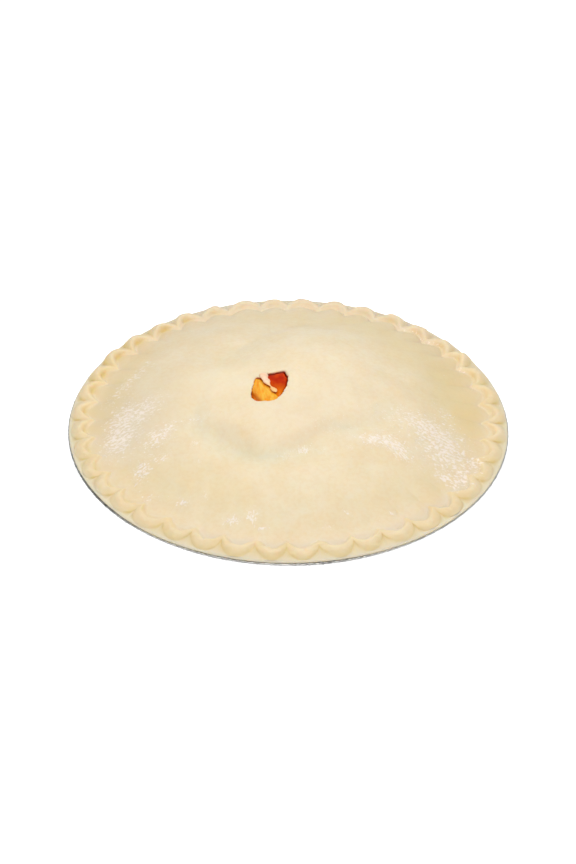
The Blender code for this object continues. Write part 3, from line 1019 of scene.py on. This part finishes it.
def shred_material():
    """Thin dough soaked with syrup: peach pink and wet, more orange towards its free end."""
    nodes = Nodes("soaked_dough")
    shade = nodes.clouds(0.35, 0.65, scale=420, detail=3)
    pink = linear(252, 206, 170)
    pale = linear(254, 224, 194)
    orange = linear(252, 200, 132)
    nodes.set(
        Base_Color=nodes.blend(nodes.mark("amber"), nodes.blend(shade, pink, pale), orange),
        Roughness=0.4,
        Specular_IOR_Level=0.3,
        Normal=nodes.bump(nodes.noise(scale=700, detail=3), 0.00005),
    )
    return nodes.material


def flour_material():
    """Dry flour, near white and matt."""
    nodes = Nodes("flour")
    bright = linear(254, 242, 230)
    dull = linear(248, 232, 216)
    colour = nodes.blend(nodes.clouds(0.3, 0.7, scale=500), bright, dull)
    nodes.set(Base_Color=colour, Roughness=0.9, Specular_IOR_Level=0.15)
    return nodes.material


def syrup_material():
    """Deep red-orange peach syrup, wet and glossy."""
    nodes = Nodes("peach_syrup")
    shade = nodes.clouds(0.35, 0.65, scale=180, detail=3)
    deep = linear(182, 42, 1)
    red = linear(204, 64, 2)
    orange = linear(232, 124, 12)
    nodes.set(
        Base_Color=nodes.blend(nodes.mark("amber"), nodes.blend(shade, deep, red), orange),
        Roughness=0.24,
        Specular_IOR_Level=0.14,
        Subsurface_Weight=0.2,
        Subsurface_Radius=(1.0, 0.3, 0.05),
        Subsurface_Scale=0.003,
        Coat_Weight=0.05,
        Coat_Roughness=0.1,
        Normal=nodes.bump(nodes.noise(scale=240), 0.0003),
    )
    return nodes.material


def peach_material():
    """Cooked peach: orange flesh with yellow fibres, wet with syrup, with painted shade in brown along its
    edges.
    """
    nodes = Nodes("peach_flesh")
    inputs = {"Vector": nodes.place(), "Rotation": (0, 0, SYRUP_SIDE), "Scale": (1.0, 0.25, 1.0)}
    along = nodes.add("Mapping", 0, {}, inputs)
    shade = nodes.clouds(0.3, 0.7, scale=700, detail=3, place=along)
    orange = linear(250, 156, 30)
    yellow = linear(252, 192, 68)
    brown = linear(206, 88, 6)
    nodes.set(
        Base_Color=nodes.blend(nodes.mark("amber", 0.9), nodes.blend(shade, orange, yellow), brown),
        Roughness=0.22,
        Subsurface_Weight=0.35,
        Subsurface_Radius=(1.0, 0.45, 0.08),
        Subsurface_Scale=0.003,
        Coat_Weight=0.12,
        Coat_Roughness=0.12,
        Normal=nodes.bump(nodes.noise(scale=600, place=along), 0.00015),
    )
    return nodes.material


def foil_material():
    """Thin rolled aluminium: bright and crinkled, with painted shade in its folds and painted dark
    reflections on parts of its bead.
    """
    nodes = Nodes("foil")
    cloud = nodes.clouds(0.35, 0.65, scale=90, detail=4, roughness=0.6)
    ticks = nodes.clouds(0.38, 0.58, scale=520, detail=3, roughness=0.7)
    colour = nodes.blend(cloud, *FOIL_GREYS)
    # Painted shade in the folds, and painted dark reflections on the bead
    colour = nodes.blend(nodes.mark("blush", 0.8), colour, FOLD_SHADE_GREY)
    colour = nodes.blend(nodes.mark("amber"), colour, nodes.blend(ticks, *DARK_BEAD_GREYS))
    nodes.set(
        Base_Color=colour,
        Metallic=1.0,
        Roughness=nodes.math("ADD", 0.3, nodes.times(cloud, 0.15)),
        Normal=nodes.bump(nodes.noise(scale=420, detail=4, roughness=0.6), 0.00012),
    )
    return nodes.material


def make_pastry(material):
    """One piece of raw dough: base, crimped rim and vented lid. Flour lies on its open faces alone."""
    base = base_rings()
    lid = [lid_ring(share) for share in closing_shares(DOME_RINGS)[::-1]]
    open_rings = brim_rings() + crimp_rings() + lid + lip_rings()
    pastry = loft("crust", base + open_rings + cavity_rings(0), material)
    table = np.vstack(open_rings)
    start = sum(len(points) for points in base)
    flour = np.zeros(len(pastry.data.vertices))
    flour[start : start + len(table)] = flour_strength(table[:, 0], table[:, 1])
    add_mark(pastry, "flour", flour)
    return pastry


def make_filling(material):
    """Syrup that fills the pastry, with its true level at the vent. It lies lower under the peach slice."""
    rings = []
    for spread in np.sin(np.linspace(SYRUP_START, math.pi / 2, SYRUP_RINGS)):
        x, y = lid_plan(0, VENT_POINTS, spread)
        swell = SYRUP_RISE * (1 - spread**SYRUP_FULLNESS)
        rings.append(ring(x, y, dome_height(x, y) - DOUGH - GAP + swell))
    rings += cavity_rings(GAP)
    for points in rings:
        x, y = points[:, 0] - VENT_X, points[:, 1] - VENT_Y
        away = np.hypot(x, y) / SYRUP_REACH
        fall = smooth(*SYRUP_FALL, x * math.cos(SYRUP_SIDE) + y * math.sin(SYRUP_SIDE))
        sunk = smooth(*SUNK_EDGE, x * math.cos(SLICE_SIDE) + y * math.sin(SLICE_SIDE))
        points[:, 2] -= SYRUP_DROP * fall * np.exp(-(away**4)) + SYRUP_SUNK * sunk * np.exp(-(away**6))
        points[:, AMBER_COLUMN] = np.maximum(smooth(*FRONT_AMBER, y), SUNK_AMBER * sunk)
    return loft("syrup", rings, material)


def make_slice(material):
    """Plump peach slice that lies in the near left of the vent, just below its edge."""
    length, width, depth = SLICE_SIZE
    middle_x, middle_y = VENT_X + SLICE_SHIFT[0], VENT_Y + SLICE_SHIFT[1]
    crown = dome_height(middle_x, middle_y) - SLICE_DROP
    cosine, sine = math.cos(SLICE_TURN), math.sin(SLICE_TURN)
    turns = np.linspace(0, math.tau, SLICE_POINTS, endpoint=False)
    rings = []
    for place in np.linspace(-SLICE_END, SLICE_END, SLICE_RINGS):
        size = (1 - abs(place) ** SLICE_FULLNESS) ** 0.5
        across = width * size * np.cos(turns)
        up = depth * size * np.sin(turns) - SLICE_BOW * place**2
        broad = BROAD_RIB_DEPTH * np.cos(turns * BROAD_RIBS + RIB_SWAY * math.sin(RIB_SWAYS * place))
        fine = FINE_RIB_DEPTH * np.cos(turns * FINE_RIBS + RIB_TWIST * place)
        ribs = 1 + broad + fine
        x = middle_x + length * place * cosine - across * ribs * sine
        y = middle_y + length * place * sine + across * ribs * cosine
        # Painted shade: brown along the slice's left edge, paler brown along its right
        paler = PALER_BROWN * smooth(*PALER_EDGE, across / width)
        brown = np.maximum(smooth(*BROWN_EDGE, -across / width), paler)
        rings.append(ring(x, y, crown - depth + up * ribs, amber=brown))
    return loft("peach_slice", rings, material)


def make_shred(material):
    """Torn shred of dough that hangs from the vent's far edge over the peach."""
    turns = np.linspace(0, math.tau, SHRED_POINTS, endpoint=False)
    last = len(SHRED_PATH) - 1
    rings = []
    for step in np.linspace(0, last - SHRED_END, SHRED_RINGS):
        index = int(step)
        near = [SHRED_PATH[min(max(index + shift, 0), last)] for shift in (-1, 0, 1, 2)]
        x, y, size = (MM * curve_value(*values, step - index) for values in zip(*near))
        z = dome_height(VENT_X + x, VENT_Y + y) - SHRED_DROP
        side = size * np.cos(turns)
        up = SHRED_FLATNESS * size * np.sin(turns)
        soaked = smooth(*SHRED_SOAKED, step / last)
        rings.append(ring(VENT_X + x + side, VENT_Y + y + SHRED_LEAN * side, z + up, amber=soaked))
    return loft("dough_shred", rings, material)


def make_tin(material):
    """Foil tin with a pleated wall and a crinkled bead. Its folds carry a mark of painted shade, and parts of
    its bead an amber mark of painted dark reflections.
    """
    profile = tin_profile()
    turn = np.linspace(0, math.tau, CRIMP_POINTS, endpoint=False)
    pleats = (0.5 + 0.5 * np.cos(PLEATS * turn + uneven(PLEAT_DRIFT, turn))) ** 3
    pleats = pleats * (PLEAT_EVENNESS + uneven(PLEAT_VARIETY, turn))
    inner, outer = [], []
    for (radius, height), (across, up) in zip(profile, normals(profile)):
        wall = smooth(*PLEAT_FOOT, height) * (1 - smooth(MOUTH_RADIUS - PLEAT_END, MOUTH_RADIUS, radius))
        bead = smooth(TIN_RADIUS - BEAD_START, TIN_RADIUS - BEAD_FULL, radius)
        dark_bead = bead * (LEAST_DARK_BEAD + dark_bead_share(turn))
        shift = bead * uneven(CRINKLES, turn, CRINKLE_CLIMB * height) - PLEAT_DEPTH * wall * pleats
        for side, made in ((FOIL / 2, inner), (-FOIL / 2, outer)):
            out = radius + across * (side + shift)
            z = np.maximum(height + up * (side + shift), 0)
            made.append(ring(out * np.cos(turn), out * np.sin(turn), z, blush=wall * pleats, amber=dark_bead))
    return loft("foil_tin", inner + outer[::-1], material, close=False)


def icosahedron():
    """Corners and faces of a unit icosahedron."""
    shape = bmesh.new()
    bmesh.ops.create_icosphere(shape, subdivisions=1, radius=1)
    corners = np.array([vertex.co for vertex in shape.verts])
    faces = np.array([[vertex.index for vertex in face.verts] for face in shape.faces])
    shape.free()
    return corners, faces


def flour_places(draw):
    """Random places on the pie, closer where the flour is thicker and gathered in small clumps."""
    x, y = draw.uniform(-BRIM_RADIUS, BRIM_RADIUS, (2, FLOUR_TRIES))
    gathered = 0.5 + 0.5 * np.tanh(uneven(FLOUR_CLUMPS, x, y))
    chance = (flour_strength(x, y) + FLOUR_STRAY) ** FLOUR_CLOSENESS * gathered
    kept = (draw.uniform(size=FLOUR_TRIES) < chance) & (np.hypot(x, y) < BRIM_RADIUS - FLOUR_MARGIN)
    return np.column_stack([x[kept], y[kept]])[:MOST_GRAINS]


def make_flour(pastry, material):
    """Loose grains and small clumps of flour on the dough, most of them small."""
    draw = np.random.default_rng(FLOUR_SEED)
    tree = BVHTree.FromObject(pastry, bpy.context.evaluated_depsgraph_get())
    corners, faces = icosahedron()
    points, triangles = [], []
    for x, y in flour_places(draw):
        spot, normal, _, _ = tree.ray_cast(Vector((x, y, ABOVE_THE_PIE)), Vector((0, 0, -1)))
        if spot is None or spot.z < TIN_HEIGHT:
            continue
        size = mix(*GRAIN_SIZES, draw.uniform() ** 3)
        shape = corners * draw.uniform(*GRAIN_ROUGHNESS, (len(corners), 1))
        length = size * draw.uniform(*GRAIN_LENGTHS)
        width = size * draw.uniform(*GRAIN_WIDTHS)
        thickness = size * GRAIN_FLATNESS
        spin = Matrix.Rotation(draw.uniform(0, math.tau), 3, "Z")
        tilt = np.array(normal.to_track_quat("Z", "Y").to_matrix() @ spin)
        middle = np.array(spot) + np.array(normal) * thickness / 2
        triangles.append(faces + len(points) * len(corners))
        points.append(shape * (length, width, thickness) @ tilt.T + middle)
    return make_mesh("flour", np.vstack(points).tolist(), np.vstack(triangles).tolist(), material, {})


def make_camera():
    """Camera at the photograph's angle, turned so that the rim's middle lies where it does there."""
    target = Vector((0, 0, TIN_HEIGHT))
    place = target + Vector((0, -math.cos(LOOK_DOWN), math.sin(LOOK_DOWN))) * DISTANCE
    aim = (target - place).to_track_quat("-Z", "Y").to_matrix()
    aim @= Matrix.Rotation((RIM_PIXEL[0] - FRAME_WIDTH / 2) / FOCAL_PIXELS, 3, "Y")
    aim @= Matrix.Rotation((RIM_PIXEL[1] - FRAME_HEIGHT / 2) / FOCAL_PIXELS, 3, "X")
    aim @= Matrix.Rotation(ROLL, 3, "Z")
    data = bpy.data.cameras.new("camera")
    data.sensor_width = SENSOR
    data.lens = FOCAL_PIXELS / FRAME_HEIGHT * SENSOR
    camera = bpy.data.objects.new("camera", data)
    camera.matrix_world = Matrix.Translation(place) @ aim.to_4x4()
    bpy.context.scene.collection.objects.link(camera)
    bpy.context.scene.camera = camera


def make_light(name, place, width, power):
    """Round lamp that shines on the pie."""
    data = bpy.data.lights.new(name, "AREA")
    data.shape = "DISK"
    data.size = width
    data.energy = power
    light = bpy.data.objects.new(name, data)
    light.location = place
    light.rotation_euler = (-Vector(place)).to_track_quat("-Z", "Y").to_euler()
    bpy.context.scene.collection.objects.link(light)


def make_studio():
    """Pale floor that glows a little, soft lamps and even light from the room."""
    bpy.ops.mesh.primitive_plane_add(size=6, location=(0, 0, TIN_LOW.z - FLOOR_GAP))
    floor = bpy.context.object
    floor.name = "floor"
    nodes = Nodes("floor")
    grain = nodes.blend(nodes.noise(scale=3), *FLOOR_GREYS)
    nodes.set(Base_Color=grain, Roughness=0.9, Emission_Color=WHITE, Emission_Strength=0.6)
    floor.data.materials.append(nodes.material)
    make_light("softbox", place=(0.0, -0.03, 0.62), width=0.42, power=2.72)
    make_light("front fill", place=(0.0, -1.1, 0.5), width=0.9, power=1.1)
    world = bpy.data.worlds.new("room")
    world.use_nodes = True
    background = world.node_tree.nodes["Background"]
    background.inputs["Color"].default_value = WHITE
    background.inputs["Strength"].default_value = 0.3
    bpy.context.scene.world = world
    bpy.context.scene.view_settings.view_transform = "Standard"


def add_piece(piece, slot, *replaced):
    """The piece rides with the pie and stands for the CAD nodes named, which are hidden. The slot is not
    used.
    """
    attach(piece, "root")
    if replaced:
        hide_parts(*replaced)


def main():
    """Build the camera, the studio and every piece."""
    make_camera()
    make_studio()
    dough = dough_material()
    crust = make_pastry(dough)
    add_piece(make_tin(foil_material()), "foil", "pie_tin")
    add_piece(make_filling(syrup_material()), "peach_syrup", "peach_filling")
    add_piece(make_slice(peach_material()), "peach_syrup")
    add_piece(make_shred(shred_material()), "raw_dough")
    add_piece(make_flour(crust, flour_material()), "raw_dough")
    add_piece(crust, "raw_dough", "pastry")


main()
